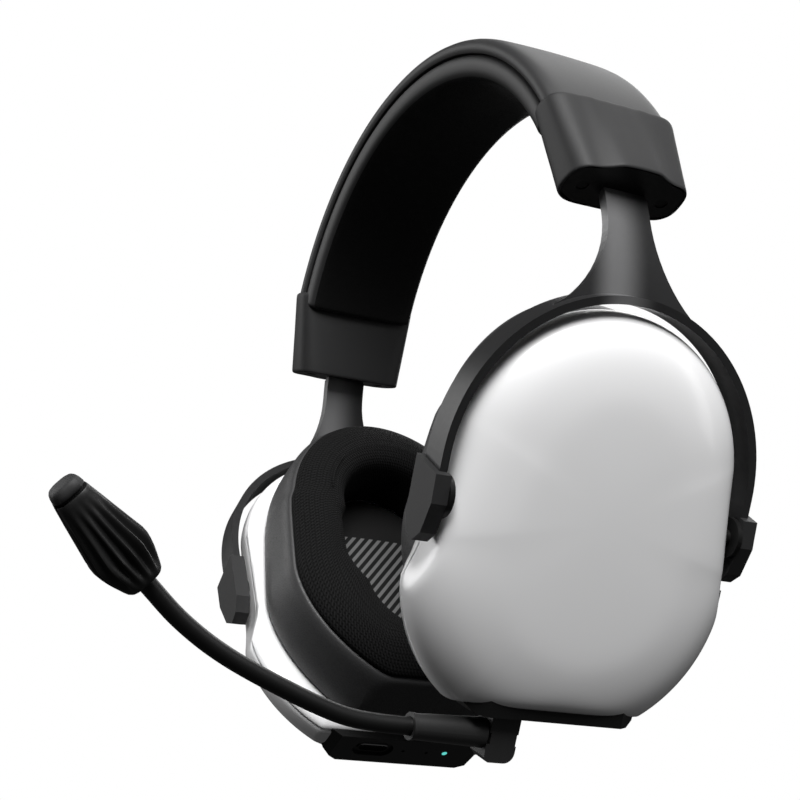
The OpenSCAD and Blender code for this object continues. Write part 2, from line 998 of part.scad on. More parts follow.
// draws one of the pieces that both sides have, on the left side
module left_piece(name, left) {
    if (name == "end_cap") end_cap();
    if (name == "slot_plate") slot_plate();
    if (name == "detent_spring") detent_spring();
    if (name == "yoke") yoke();
    if (name == "pivot_blocks") pivot_blocks();
    if (name == "pivot_pins") pivot_pins();
    if (name == "cup_shell") cup_shell(left);
    if (name == "cup_housing") cup_housing(left);
    if (name == "plinth") plinth(left);
    if (name == "housing_screws") housing_screws();
    if (name == "driver_frame") driver_frame();
    if (name == "driver_magnet") driver_magnet();
    if (name == "driver_diaphragm") driver_diaphragm();
    if (name == "ear_cloth") ear_cloth();
    if (name == "cushion_ring") cushion_ring();
    if (name == "cushion_foam") cushion_foam();
    if (name == "cushion_side") cushion_side();
    if (name == "cushion_face") cushion_face();
}

for (n = pair_nodes) {
    left_piece(n, true);
    mirror([1, 0, 0]) left_piece(n, false);
}
headband_cover();
headband_pad();
spring_band();
band_cable();
cap_screws();
mic_socket();
mic_plug();
mic_elbow();
mic_barrel();
mic_boom_lower();
mic_boom_upper();
mic_capsule();
mic_tip();
mic_element();
volume_wheel();
mute_button();
power_button();
control_board();
usb_socket();
charge_light();
battery();
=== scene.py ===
from math import atan2, cos, degrees, hypot, pi, radians, sin, sqrt

import bpy
import numpy as np
from mathutils import Matrix, Vector


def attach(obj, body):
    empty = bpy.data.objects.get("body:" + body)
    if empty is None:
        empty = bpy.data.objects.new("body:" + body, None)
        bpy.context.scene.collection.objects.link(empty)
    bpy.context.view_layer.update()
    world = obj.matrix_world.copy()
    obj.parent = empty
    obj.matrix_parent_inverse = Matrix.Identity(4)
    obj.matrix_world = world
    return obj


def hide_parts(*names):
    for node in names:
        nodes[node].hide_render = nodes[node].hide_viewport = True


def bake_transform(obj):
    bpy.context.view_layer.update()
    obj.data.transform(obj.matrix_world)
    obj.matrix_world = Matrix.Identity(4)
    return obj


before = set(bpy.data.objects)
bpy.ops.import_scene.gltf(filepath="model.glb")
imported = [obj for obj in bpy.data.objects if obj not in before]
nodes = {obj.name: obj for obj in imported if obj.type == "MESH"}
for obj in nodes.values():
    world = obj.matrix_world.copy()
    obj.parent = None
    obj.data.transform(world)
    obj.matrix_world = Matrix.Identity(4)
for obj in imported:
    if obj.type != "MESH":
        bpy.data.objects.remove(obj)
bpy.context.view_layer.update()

mm = 0.001

# ---- Camera, light and floor ----
# The headset is seen from its front left and from a little below. A large soft light stands
# beside the camera, a smaller one above, and the floor and the backdrop are plain and pale.
scene = bpy.context.scene
scene.view_settings.view_transform = "Standard"
camera = bpy.data.objects.new("camera", bpy.data.cameras.new("camera"))
camera.data.lens = 82.03
camera.data.sensor_width = 36
camera.data.clip_start = 0.01
camera_azimuth, camera_rise, camera_roll = 62.474, 18.739, 0.243
camera.matrix_world = (
    Matrix.Translation((0.40003, -0.2285, -0.23956))
    @ Matrix.Rotation(radians(camera_azimuth), 4, "Z")
    @ Matrix.Rotation(radians(90 + camera_rise), 4, "X")
    @ Matrix.Rotation(radians(camera_roll), 4, "Z")
)
scene.collection.objects.link(camera)
scene.camera = camera

middle = Vector((0, 0, -0.09))


def soft_light(name, place, size, power):
    lamp = bpy.data.objects.new(name, bpy.data.lights.new(name, "AREA"))
    lamp.data.shape = "RECTANGLE"
    lamp.data.size, lamp.data.size_y = size
    lamp.data.energy = power
    lamp.location = place
    lamp.rotation_euler = (middle - Vector(place)).to_track_quat("-Z", "Y").to_euler()
    scene.collection.objects.link(lamp)


soft_light("key_light", (0.95, -0.3, 0.8), (0.8, 0.8), 30)
soft_light("front_light", (-0.85, -1.0, 0.5), (0.9, 1.0), 8.5)
soft_light("top_light", (-0.25, 0.65, 1.0), (0.8, 0.8), 4.5)
soft_light("side_light", (0.7, 1.1, 0.2), (0.25, 1.0), 2)
soft_light("rear_light", (-0.9, 1.0, 0.6), (0.8, 0.8), 6)

world = bpy.data.worlds.new("studio")
scene.world = world
world.use_nodes = True
room = world.node_tree
room_light = room.nodes["Background"]
room_light.inputs["Color"].default_value = (1, 1, 1, 1)
room_light.inputs["Strength"].default_value = 0.045
backdrop = room.nodes.new("ShaderNodeBackground")
backdrop.inputs["Color"].default_value = (1, 1, 1, 1)
backdrop.inputs["Strength"].default_value = 1.0
seen = room.nodes.new("ShaderNodeLightPath")
either = room.nodes.new("ShaderNodeMixShader")
room.links.new(seen.outputs["Is Camera Ray"], either.inputs[0])
room.links.new(room_light.outputs[0], either.inputs[1])
room.links.new(backdrop.outputs[0], either.inputs[2])
room.links.new(either.outputs[0], room.nodes["World Output"].inputs[0])

floor_size, floor_level = 8, -0.26
bpy.ops.object.select_all(action="DESELECT")
bpy.ops.mesh.primitive_plane_add(size=floor_size, location=(0, 0, floor_level))
floor = bpy.context.object
floor.name = "floor"
floor.visible_diffuse = floor.visible_glossy = False


class Shade:
    """A socket of a material, so that shader maths reads as plain arithmetic."""

    def __init__(self, tree, socket=None):
        self.tree, self.socket = tree, socket

    def node(self, kind, settings=None, inputs=None, out=0):
        made = self.tree.nodes.new("ShaderNode" + kind)
        for name, value in (settings or {}).items():
            setattr(made, name, value)
        for name, value in (inputs or {}).items():
            if isinstance(value, Shade):
                self.tree.links.new(value.socket, made.inputs[name])
            else:
                made.inputs[name].default_value = value
        return Shade(self.tree, made.outputs[out])

    def maths(self, how, *values):
        return self.node("Math", {"operation": how}, dict(enumerate(values)))

    def __add__(self, other):
        return self.maths("ADD", self, other)

    def __sub__(self, other):
        return self.maths("SUBTRACT", self, other)

    def __rsub__(self, other):
        return self.maths("SUBTRACT", other, self)

    def __mul__(self, other):
        return self.maths("MULTIPLY", self, other)

    __radd__, __rmul__ = __add__, __mul__

    def clamped(self, low, high):
        """0 below low, 1 above high and smooth between them."""
        return self.node("MapRange", {"interpolation_type": "SMOOTHSTEP"}, {0: self, 1: low, 2: high})

    def sine(self):
        return self.maths("SINE", self)


def noise(s, place, scale, detail=3.0, roughness=0.5):
    sockets = {"Vector": place, "Scale": scale, "Detail": detail, "Roughness": roughness}
    return s.node("TexNoise", None, sockets)


def mixed(s, share, first, second):
    """A colour between two others, each a colour or a link."""
    full = [c if isinstance(c, Shade) else (*c, 1) for c in (first, second)]
    return s.node("Mix", {"data_type": "RGBA"}, {0: share, 6: full[0], 7: full[1]}, out=2)


def bumped(s, height, strength, distance, under=None):
    sockets = {"Height": height, "Strength": strength, "Distance": distance}
    if under:
        sockets["Normal"] = under
    return s.node("Bump", None, sockets)


def new_finish(name, recipe, **constants):
    """A material: the constants go on the shader's own sockets, and recipe gives the linked ones."""
    material = bpy.data.materials.new(name)
    material.use_nodes = True
    shader = material.node_tree.nodes["Principled BSDF"]
    for socket, value in constants.items():
        shader.inputs[socket.replace("_", " ")].default_value = value
    s = Shade(material.node_tree)
    for socket, value in recipe(s, s.node("TexCoord", out="Object")).items():
        if isinstance(value, Shade):
            material.node_tree.links.new(value.socket, shader.inputs[socket])
        else:
            shader.inputs[socket].default_value = value
    return material


def painted_floor(s, place):
    patch = noise(s, place, 3)
    pale = mixed(s, patch, (0.7, 0.7, 0.7), (0.74, 0.74, 0.74))
    return {"Base Color": pale, "Emission Color": pale, "Roughness": patch * 0.1 + 0.8}


floor_paint = new_finish("floor_paint", painted_floor, Emission_Strength=1.4, Specular_IOR_Level=0.0)
floor.data.materials.append(floor_paint)


# ---- Headband cover ----
# The outer skin of the headband is a moulded soft-touch sleeve, dark grey and smooth, with
# generous round shoulders. It meets the pad in a narrow seam along each side.
arc_z = -71.2
band_ends = (27.4, 152.6)


def sheet_mesh(name, grid):
    """Shapes a grid primitive to the given points in mm, rows by columns."""
    rows, columns = grid.shape[0] - 1, grid.shape[1] - 1
    bpy.ops.object.select_all(action="DESELECT")
    bpy.ops.mesh.primitive_grid_add(x_subdivisions=rows, y_subdivisions=columns, size=1)
    piece = bpy.context.object
    piece.name = piece.data.name = name
    layer = piece.data.uv_layers[0].data
    along = np.linalg.norm(np.diff(grid, axis=0), axis=2).mean(1).cumsum()
    across = np.linalg.norm(np.diff(grid, axis=1), axis=2).mean(0).cumsum()
    along, across = np.append(0, along), np.append(0, across)
    spots = [(round((v.co.x + 0.5) * rows), round((v.co.y + 0.5) * columns)) for v in piece.data.vertices]
    for loop in piece.data.loops:
        i, j = spots[loop.vertex_index]
        layer[loop.index].uv = (along[i], across[j])
    for vertex, (i, j) in zip(piece.data.vertices, spots):
        vertex.co = Vector(grid[i, j]) * mm
    return piece


def select_only(piece):
    bpy.ops.object.select_all(action="DESELECT")
    piece.select_set(True)
    bpy.context.view_layer.objects.active = piece


def apply_modifier(piece, kind, **settings):
    select_only(piece)
    added = piece.modifiers.new(kind.lower(), kind)
    for name, value in settings.items():
        setattr(added, name, value)
    bpy.ops.object.modifier_apply(modifier=added.name)


def closed_up(piece, sharp=35):
    """Merges the doubles, turns the faces outwards and smooths them."""
    select_only(piece)
    bpy.ops.object.mode_set(mode="EDIT")
    bpy.ops.mesh.select_all(action="SELECT")
    bpy.ops.mesh.remove_doubles(threshold=2e-6)
    bpy.ops.mesh.normals_make_consistent(inside=False)
    bpy.ops.object.mode_set(mode="OBJECT")
    bpy.ops.object.shade_smooth_by_angle(angle=radians(sharp))


def smooth_run(points, count, closed=False):
    """Evenly spaced points on a smooth curve through the given ones."""
    points = np.array(points, float)
    if closed:
        points = np.vstack([points, points[:1]])
    total = len(points)
    before = np.vstack([points[-2] if closed else 2 * points[0] - points[1], points[:-1]])
    after = np.vstack([points[1:], points[1] if closed else 2 * points[-1] - points[-2]])
    slope = (after - before) / 2
    fine = []
    for k in range(total - 1):
        for t in np.arange(0, 1, 0.05):
            fine.append(
                (2 * t**3 - 3 * t**2 + 1) * points[k] + (t**3 - 2 * t**2 + t) * slope[k]
                + (3 * t**2 - 2 * t**3) * points[k + 1] + (t**3 - t**2) * slope[k + 1]
            )
    fine = np.array(fine + [points[-1]])
    length = np.append(0, np.linalg.norm(np.diff(fine, axis=0), axis=1).cumsum())
    steps = np.linspace(0, length[-1], count)
    return np.stack([np.interp(steps, length, fine[:, axis]) for axis in range(points.shape[1])], 1)


def on_arc(radius, y, angle):
    return (radius * cos(radians(angle)), y, arc_z + radius * sin(radians(angle)))


def with_ends(rings):
    """Closes a run of rings at both ends, each onto its own middle."""
    rings = [np.array(ring) for ring in rings]
    for ring, place in ((rings[0], 0), (rings[-1], len(rings) + 1)):
        rings.insert(place, np.tile(ring[:-1].mean(0), (len(ring), 1)))
    return np.array(rings)


def arc_sweep(name, section, angles):
    """Sweeps a closed section of (radius, y) points along the headband's arc."""
    return sheet_mesh(name, with_ends([[on_arc(r, y, angle) for r, y in section] for angle in angles]))


def mirror_section(half):
    return list(half) + [(r, -y) for r, y in reversed(half) if abs(y) > 1e-6]


cover_half = [(78.6, 0), (78.6, 14.5), (78.55, 16.6), (78.7, 17.35), (79.4, 17.75), (80.5, 17.85),
              (81.7, 17.3), (82.6, 15.9), (83.05, 13.6), (83.25, 9), (83.35, 4), (83.38, 0)]
cover_section = smooth_run(mirror_section(cover_half[1:]), 85, closed=True)
cover = arc_sweep("band_cover", cover_section, np.linspace(*band_ends, 97))
closed_up(cover)


def soft_touch(s, place):
    grain = noise(s, place, 2600, 4)
    patch = noise(s, place, 18, 3)
    colour = mixed(s, patch, (0.018, 0.018, 0.0185), (0.025, 0.025, 0.0255))
    return {"Base Color": mixed(s, grain.clamped(0.35, 0.8) * 0.25, colour, (0.045, 0.045, 0.046)),
            "Roughness": grain * 0.12 + patch * 0.08 + 0.42,
            "Normal": bumped(s, grain, 0.1, 0.00006)}


soft_touch_grey = new_finish("soft_touch_grey", soft_touch, Specular_IOR_Level=0.42)
cover.data.materials.append(soft_touch_grey)
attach(cover, "headband")
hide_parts("headband_cover")


# ---- Headband pad ----
# A strip of foam in thin black leatherette, crowned on the head's side and drawn in at both
# long edges. A smooth grey strip of the cover's colour runs along each of its sides.
def leather(dark, light, cell, crease):
    def recipe(s, place):
        cells = s.node("TexVoronoi", {"feature": "DISTANCE_TO_EDGE"}, {"Vector": place, "Scale": cell})
        pores = s.node("TexVoronoi", {"feature": "F1"}, {"Vector": place, "Scale": cell * 2.3})
        folds = noise(s, place, crease, 5, 0.6)
        patch = noise(s, place, 30, 3)
        valley = 1 - cells.clamped(0.0, 0.16)
        fine = bumped(s, pores, 0.12, 0.00005)
        grained = bumped(s, valley * -1.0, 0.35, 0.00005, fine)
        return {"Base Color": mixed(s, valley * 0.5 + patch * 0.3, light, dark),
                "Roughness": valley * 0.16 + patch * 0.1 + 0.4,
                "Normal": bumped(s, folds, 0.22, 0.0004, grained)}
    return recipe


pad_half = [(78.5, 0), (78.5, 13), (78.3, 16.0), (77.6, 17.0), (76.2, 17.35), (74.4, 17.1),
            (73.0, 16.4), (72.1, 15.0), (71.7, 12.6), (71.45, 9.0), (71.35, 4.5), (71.3, 0)]
pad_section = smooth_run(mirror_section(pad_half[1:]), 77, closed=True)
pad = arc_sweep("band_pad", pad_section, np.linspace(*band_ends, 121))
closed_up(pad)
pad_black = new_finish("pad_leatherette", leather((0.0015, 0.0015, 0.0015), (0.004, 0.004, 0.004), 1500, 120),
                       Specular_IOR_Level=0.22)
pad.data.materials.append(pad_black)
pad.data.materials.append(soft_touch_grey)
strip_edge, strip_radius = 15.6, 72.9
for face in pad.data.polygons:
    spot = face.center / mm
    radius = hypot(spot.x, spot.z - arc_z)
    if abs(spot.y) > strip_edge and radius > strip_radius:
        face.material_index = 1


def puffed(piece, pressure, most, keep, frames=16):
    """Blows the piece up like padding. Its group keep is held, and no point moves further than
    most, in metres."""
    start = np.array([v.co[:] for v in piece.data.vertices])
    select_only(piece)
    cloth = piece.modifiers.new("cloth", "CLOTH")
    cloth.settings.quality = 5
    cloth.settings.mass = 0.15
    cloth.settings.tension_stiffness = cloth.settings.compression_stiffness = 12
    cloth.settings.bending_stiffness = 0.4
    cloth.settings.use_pressure = True
    cloth.settings.uniform_pressure_force = pressure
    cloth.settings.effector_weights.gravity = 0
    cloth.collision_settings.use_collision = False
    cloth.settings.vertex_group_mass = keep
    cloth.point_cache.frame_start, cloth.point_cache.frame_end = 1, frames
    for step in range(1, frames + 1):
        scene.frame_set(step)
    shape = piece.evaluated_get(bpy.context.evaluated_depsgraph_get()).data
    moved = np.array([v.co[:] for v in shape.vertices]) - start
    piece.modifiers.remove(cloth)
    scene.frame_set(1)
    far = np.linalg.norm(moved, axis=1, keepdims=True)
    moved *= np.minimum(1, most / np.maximum(far, 1e-9))
    for vertex, place in zip(piece.data.vertices, start + moved):
        vertex.co = place


def pinned(piece, name, weight):
    """A vertex group from a rule that gives each point its weight."""
    group = piece.vertex_groups.new(name=name)
    for vertex in piece.data.vertices:
        group.add([vertex.index], weight(vertex.co / mm), "REPLACE")


pad_seam_radius, pad_end_degrees = 73.2, 2.0


def pad_hold(spot):
    radius = hypot(spot.x, spot.z - arc_z)
    end = min(abs(degrees(atan2(spot.z - arc_z, spot.x)) - a) for a in band_ends)
    return 1.0 if radius > pad_seam_radius or end < pad_end_degrees else 0.0


pinned(pad, "held", pad_hold)
puffed(pad, 1.6, 0.0006, keep="held")
apply_modifier(pad, "SUBSURF", levels=1, render_levels=1)
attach(pad, "headband")
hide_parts("headband_pad")

# ---- End caps ----
# Moulded caps close both ends of the headband. Each has a soft ridge down the middle of its
# outer face, tapers in at its front and rear, and is open below for the black slot plate.
cap_lean, cap_height = 16, 24
slot_radius, slot_angle = 77.8, radians(12.6)
slot_x, slot_z = slot_radius * cos(slot_angle), arc_z + slot_radius * sin(slot_angle)


def in_cap(x, y, z):
    """A point of the left cap: x outward, z up along the slider, from the slot."""
    a = radians(cap_lean)
    return (slot_x + x * cos(a) - z * sin(a), y, slot_z + x * sin(a) + z * cos(a))


def cap_ring(k, inset):
    """The cap's outline at the share k of its height, drawn in by inset."""
    wide = 16.3 + 2.2 * k
    half = [(-7.4 + 1.9 * k, 0), (-7.4 + 1.9 * k, 6), (-7.2 + 1.9 * k, 11.6 + 2.2 * k),
            (-6.0 + 1.2 * k, 14.6 + 2.3 * k), (-3.6 + 0.6 * k, wide), (0.2, wide + 0.2),
            (3.6 - 0.8 * k, wide - 0.5), (5.9 - 1.3 * k, 13.6 + 1.6 * k), (6.6 - 1.5 * k, 10.4),
            (7.5 - 2.1 * k, 7.8), (8.7 - 3.4 * k, 5.3), (9.05 - 3.6 * k, 2.5), (9.1 - 3.7 * k, 0)]
    ring = smooth_run(half + [(x, -y) for x, y in reversed(half[1:-1])], 97, closed=True)
    centre = np.array([0.3, 0])
    away = ring - centre
    return centre + away * (1 - inset / np.linalg.norm(away, axis=1, keepdims=True))


cap_steps = [(0.1, 0.72), (0.02, 0.72), (0.006, 0.68), (0.0, 0.58), (0.0, 0.4), (0.008, 0.16), (0.02, 0.03),
             (0.04, 0.0), (0.2, 0.0), (0.35, 0.0), (0.5, 0.0), (0.65, 0.0), (0.8, 0.0), (0.93, 0.0),
             (0.965, 0.05), (0.988, 0.25), (1.0, 0.6), (1.0, 1.6), (0.99, 3.4), (0.9, 3.6)]
cap_grid = [[in_cap(x, y, k * cap_height) for x, y in cap_ring(k, inset)] for k, inset in cap_steps]
left_cap = sheet_mesh("left_band_cap", np.array(cap_grid))
closed_up(left_cap, 40)


def moulded(dark, light, rough, grain_size=2200, strength=0.16):
    """Textured injection moulding: fine grain, a little unevenness, lighter rubbed patches."""
    def recipe(s, place):
        grain = noise(s, place, grain_size, 5, 0.65)
        patch = noise(s, place, 25, 4)
        wear = noise(s, place, 140, 5).clamped(0.56, 0.8) * 0.18
        return {"Base Color": mixed(s, grain * 0.35 + patch * 0.3 + wear, dark, light),
                "Roughness": grain * 0.14 + patch * 0.1 + (rough - 0.1),
                "Normal": bumped(s, grain, strength, 0.00005)}
    return recipe


cap_grey = new_finish("cap_plastic_grey", moulded((0.011, 0.011, 0.0115), (0.022, 0.022, 0.0225), 0.6),
                      Specular_IOR_Level=0.42)
left_cap.data.materials.append(cap_grey)


def mirrored_copy(piece, name):
    """The same piece for the other side, with a mesh of its own."""
    twin = piece.copy()
    twin.data = piece.data.copy()
    twin.name = twin.data.name = name
    scene.collection.objects.link(twin)
    twin.data.transform(Matrix.Scale(-1, 4, (1, 0, 0)))
    twin.data.flip_normals()
    return twin


right_cap = mirrored_copy(left_cap, "right_band_cap")
for piece, node in ((left_cap, "left_end_cap"), (right_cap, "right_end_cap")):
    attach(piece, "headband")
    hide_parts(node)

# ---- Slot plates and the headband's inner parts ----
# Black glass-filled inserts close the caps from below and guide the sliders. The spring strip,
# the cable, the leaf springs and the screws are inside and are barely seen.
black_plastic = new_finish("black_plastic", moulded((0.005, 0.005, 0.005), (0.01, 0.01, 0.0101), 0.36),
                           Specular_IOR_Level=0.35)


def rolled_steel(s, place):
    streaks = s.node("Mapping", None, {"Vector": place, "Scale": (1, 14, 1)})
    lines = noise(s, streaks, 500, 4)
    return {"Base Color": mixed(s, lines, (0.42, 0.42, 0.43), (0.6, 0.6, 0.61)),
            "Roughness": lines * 0.2 + 0.2, "Normal": bumped(s, lines, 0.08, 0.00004)}


bright_steel = new_finish("rolled_steel", rolled_steel, Metallic=1.0)
dark_steel = new_finish("black_steel", moulded((0.012, 0.012, 0.012), (0.03, 0.03, 0.03), 0.4), Metallic=0.7)
rubber_black = new_finish("rubber_black", moulded((0.003, 0.003, 0.003), (0.007, 0.007, 0.007), 0.42, 3000),
                          Specular_IOR_Level=0.4)


def dress(material, *names):
    """Gives CAD nodes their finish."""
    for name in names:
        nodes[name].data.materials.clear()
        nodes[name].data.materials.append(material)


def both(*names):
    return [side + name for name in names for side in ("left_", "right_")]


dress(black_plastic, *both("slot_plate"))
dress(bright_steel, "spring_band", *both("detent_spring"))
dress(dark_steel, "cap_screws")
dress(rubber_black, "band_cable")

# ---- Yokes ----
# Each yoke is one stamped and bent steel strap in satin grey paint: a slider blade that runs up
# into the cap, a stem that flares, and an arch that carries the ear cup. A lighter band down the
# stem, a little in front of its middle, is a painted highlight.


def satin_paint(s, place):
    flow = noise(s, place, 900, 3)
    patch = noise(s, place, 40, 3)
    scuffs = noise(s, place, 260, 6, 0.7).clamped(0.62, 0.75)
    y = Shade(s.tree, s.node("SeparateXYZ", None, {"Vector": place}).socket.node.outputs[1])
    # A band of much lighter colour down the stem, a little in front of its middle, is a painted highlight.
    stem_painted_highlight = y.clamped(-0.012, -0.005) * (1 - y.clamped(-0.004, 0.005))
    plain = mixed(s, patch * 0.5 + scuffs * 0.25, (0.02, 0.02, 0.0205), (0.036, 0.036, 0.037))
    return {"Base Color": mixed(s, stem_painted_highlight * 0.8, plain, (0.22, 0.22, 0.223)),
            "Roughness": flow * 0.1 + patch * 0.06 + 0.3,
            "Normal": bumped(s, flow, 0.06, 0.00004)}


yoke_paint = new_finish("yoke_paint", satin_paint, Metallic=0.35, Specular_IOR_Level=0.5)


def soften(name, width, segments=3, angle=35):
    """Rounds the sharp edges of a CAD node."""
    edge = nodes[name].modifiers.new("edge", "BEVEL")
    edge.width, edge.segments = width * mm, segments
    edge.limit_method, edge.angle_limit = "ANGLE", radians(angle)
    edge.harden_normals = True


dress(yoke_paint, *both("yoke"))
for name in both("yoke"):
    soften(name, 0.35, 2)

# ---- Pivot blocks ----
# Moulded covers clip over both feet of each yoke and hold the pivot pins. A raised face with
# chamfered sides looks outwards, and a round shim shows between the block and the cup.
dress(cap_grey, *both("pivot_blocks"))
dress(dark_steel, *both("pivot_pins"))
for name in both("pivot_blocks"):
    soften(name, 1.5, 5)

# ---- Ear cup shells ----
# The outer shell is a white satin moulding: a domed oval with a flat bottom, a round shoulder,
# and a hollow on each side where the pivot block sits. A fine parting line follows its edge.
splay = radians(25.4)
cup_x, cup_z = 55, -119.8
pivot_u, pivot_w = 6.5, -7.5


def in_cup(u, v, w):
    """A point of the left cup: u outward, v to the rear, w up."""
    return (cup_x + u * cos(splay) + w * sin(splay), v, cup_z - u * sin(splay) + w * cos(splay))


def to_cup(spot):
    """The reverse, for a point in mm on either side."""
    x, z = abs(spot[0]) - cup_x, spot[2] - cup_z
    return x * cos(splay) - z * sin(splay), spot[1], x * sin(splay) + z * cos(splay)


def outline_half(d, b):
    """One side of the cup's outline, bottom to top, drawn in by d and by b at the flat bottom."""
    r_top, r_low, corner = 38.5 - d, 39 - d, 2.5
    level = -54 + b + corner
    out = 3.7 + sqrt(max((r_low - corner) ** 2 - (level + 22) ** 2, 0.01))
    turn = atan2(level + 22, out - 3.7)
    gap_v, gap_w = -3.7, 24.2
    side = atan2(gap_w, gap_v) - np.arccos((r_low - r_top) / hypot(gap_v, gap_w))
    parts = [(out, level, corner, -pi / 2, turn, 7), (3.7, -22, r_low, turn, side, 22),
             (0, 2.2, r_top, side, pi / 2, 26)]
    return np.array([(v + r * cos(a), w + r * sin(a))
                     for v, w, r, start, end, count in parts for a in np.linspace(start, end, count)])


def full_outline(d, b):
    half = outline_half(d, b)
    flat = np.stack([np.linspace(0, half[0, 0], 9)[:-1], np.full(8, half[0, 1])], 1)
    half = np.vstack([flat, half])
    other = half[::-1] * (-1, 1)
    return np.vstack([half, other[1:]])


heart = np.array([0.0, -7.0])
base_outline = full_outline(0, 0)
headings = np.unwrap(np.arctan2(*(base_outline - heart).T[::-1]))


def eased(angles, reach, passes):
    """The distances of a closed outline on the shared headings, evened out over its neighbours."""
    count = 720
    even = headings[0] + np.arange(count) * (2 * pi / count)
    run = np.interp(even, angles, reach, period=2 * pi)
    for _ in range(passes):
        run = (np.roll(run, 1) + 2 * run + np.roll(run, -1)) / 4
    return np.interp(headings, even, run, period=2 * pi)


def cup_ring(u, d, b, rise=0.0, scale=1.0, ease=0):
    """The outline at the depth u, its points on the same headings for every ring."""
    ring = full_outline(d, b) + (0, rise)
    angles = np.unwrap(np.arctan2(*(ring - heart).T[::-1]))
    reach = np.linalg.norm(ring - heart, axis=1)
    reach = (eased(angles, reach, ease) if ease else np.interp(headings, angles, reach)) * scale
    return [(u, heart[0] + r * cos(a), heart[1] + r * sin(a)) for r, a in zip(reach, headings)]


shell_steps = [(0.02, 0.7, 0.7), (0.14, 0.42, 0.42), (0.5, 0.15, 0.15), (1.2, 0.0, 0.0), (2.2, 0.0, 0.0),
               (3.4, 0.05, 0.0), (4.6, 0.25, 0.0), (5.8, 0.72, 0.03), (7.0, 1.5, 0.12), (8.1, 2.5, 0.3),
               (9.2, 3.8, 0.55), (10.2, 5.3, 0.9), (11.2, 7.2, 1.6), (12.0, 9.3, 2.7), (12.7, 11.8, 4.5),
               (13.3, 14.7, 7.0), (13.8, 17.8, 10.1), (14.15, 21.0, 13.4)]
shell_rings = [cup_ring(u, d, b, ease=int(15 * max(d - 1, 0))) for u, d, b in shell_steps]
last_d, last_b = shell_steps[-1][1:]
for scale, u in ((0.8, 14.4), (0.55, 14.62), (0.3, 14.75), (0.12, 14.8), (0.0, 14.8)):
    shell_rings.append(cup_ring(u, last_d, last_b, 0, scale, 300))

hollow_wall, hollow_radius, hollow_edge = 38.45, 7.5, 1.2


def pivot_hollow(u, v, w):
    """Presses the wall in round the pivot, with a soft edge."""
    away = hypot(u - pivot_u, w - pivot_w)
    limit = hollow_wall + 0.021 * max(away - hollow_radius, 0) ** 2
    if w > pivot_w:
        across = hollow_wall + 0.055 * max(abs(u - pivot_u) - hollow_radius, 0) ** 2
        limit = min(limit, across + 0.10 * max(w - pivot_w - 5, 0))
    depth = abs(v)
    if depth <= limit - hollow_edge:
        return (u, v, w)
    over = depth - (limit - hollow_edge)
    return (u, (limit - hollow_edge * np.exp(-over / hollow_edge)) * (1 if v > 0 else -1), w)


shell_grid = np.array([[in_cup(*pivot_hollow(*point)) for point in ring] for ring in shell_rings])
left_shell = sheet_mesh("left_outer_shell", shell_grid)
closed_up(left_shell, 60)
apply_modifier(left_shell, "SOLIDIFY", thickness=1.2 * mm, offset=-1)
apply_modifier(left_shell, "SUBSURF", levels=1, render_levels=1)


def white_moulding(s, place):
    peel = noise(s, place, 420, 2)
    patch = noise(s, place, 22, 3)
    specks = noise(s, place, 5000, 2).clamped(0.68, 0.74)
    return {"Base Color": mixed(s, specks * 0.1 + patch * 0.2, (0.9, 0.9, 0.905), (0.84, 0.84, 0.845)),
            "Roughness": patch * 0.08 + specks * 0.1 + 0.26,
            "Normal": bumped(s, peel, 0.03, 0.0001)}


shell_white = new_finish("shell_white", white_moulding, Coat_Weight=0.25, Coat_Roughness=0.12)
left_shell.data.materials.append(shell_white)
right_shell = mirrored_copy(left_shell, "right_outer_shell")
for piece, side in ((left_shell, "left"), (right_shell, "right")):
    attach(piece, side + "_cup")
    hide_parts(side + "_cup_shell")

# ---- Housings, plinths and the parts inside the cups ----
# Behind each shell is a white back plate with a rounded rim that carries the speaker and the
# cushion. A black strip under the cup covers its lower end; the right one has the charging
# socket and a light.
rim_steps = [(0.3, 3.0, 3.0), (-0.03, 0.9, 0.9), (-0.08, 0.45, 0.45), (-0.3, 0.25, 0.25), (-0.8, 0.35, 0.35),
             (-1.4, 1.1, 1.0), (-2.0, 2.6, 2.4), (-2.35, 4.6, 4.4), (-2.5, 7.5, 7.5), (-2.5, 11.8, 11.8),
             (-2.1, 12.2, 12.2), (0.1, 12.2, 12.2), (0.3, 11.8, 11.8), (0.3, 3.0, 3.0)]
rim_grid = np.array([[in_cup(*pivot_hollow(*point)) for point in cup_ring(*step)] for step in rim_steps])
left_rim = sheet_mesh("left_back_rim", rim_grid)
closed_up(left_rim, 50)
left_rim.data.materials.append(shell_white)
right_rim = mirrored_copy(left_rim, "right_back_rim")
for piece, side in ((left_rim, "left"), (right_rim, "right")):
    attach(piece, side + "_cup")
    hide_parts(side + "_cup_housing")

dress(black_plastic, *both("plinth", "driver_frame"))
for name in both("plinth"):
    soften(name, 0.7, 3, 30)
dress(dark_steel, *both("housing_screws"))
dress(bright_steel, *both("driver_magnet"), "mic_socket", "mic_element")


# Only the socket's edge nearest the cushion is painted bright, a painted highlight; the rest is painted dark,
# as painted shade inside its recess.
def socket_painted_light_and_shade(s, place):
    parts = s.node("SeparateXYZ", None, {"Vector": place})
    x, z = parts, Shade(s.tree, parts.socket.node.outputs[2])
    out = (x.maths("ABSOLUTE", x) - cup_x * mm) * cos(splay) - (z - cup_z * mm) * sin(splay)
    lines = noise(s, place, 900, 3)
    dark = mixed(s, lines, (0.01, 0.01, 0.01), (0.03, 0.03, 0.03))
    return {"Base Color": mixed(s, out.clamped(3.0 * mm, 3.3 * mm), (0.6, 0.6, 0.61), dark),
            "Roughness": lines * 0.15 + 0.25}


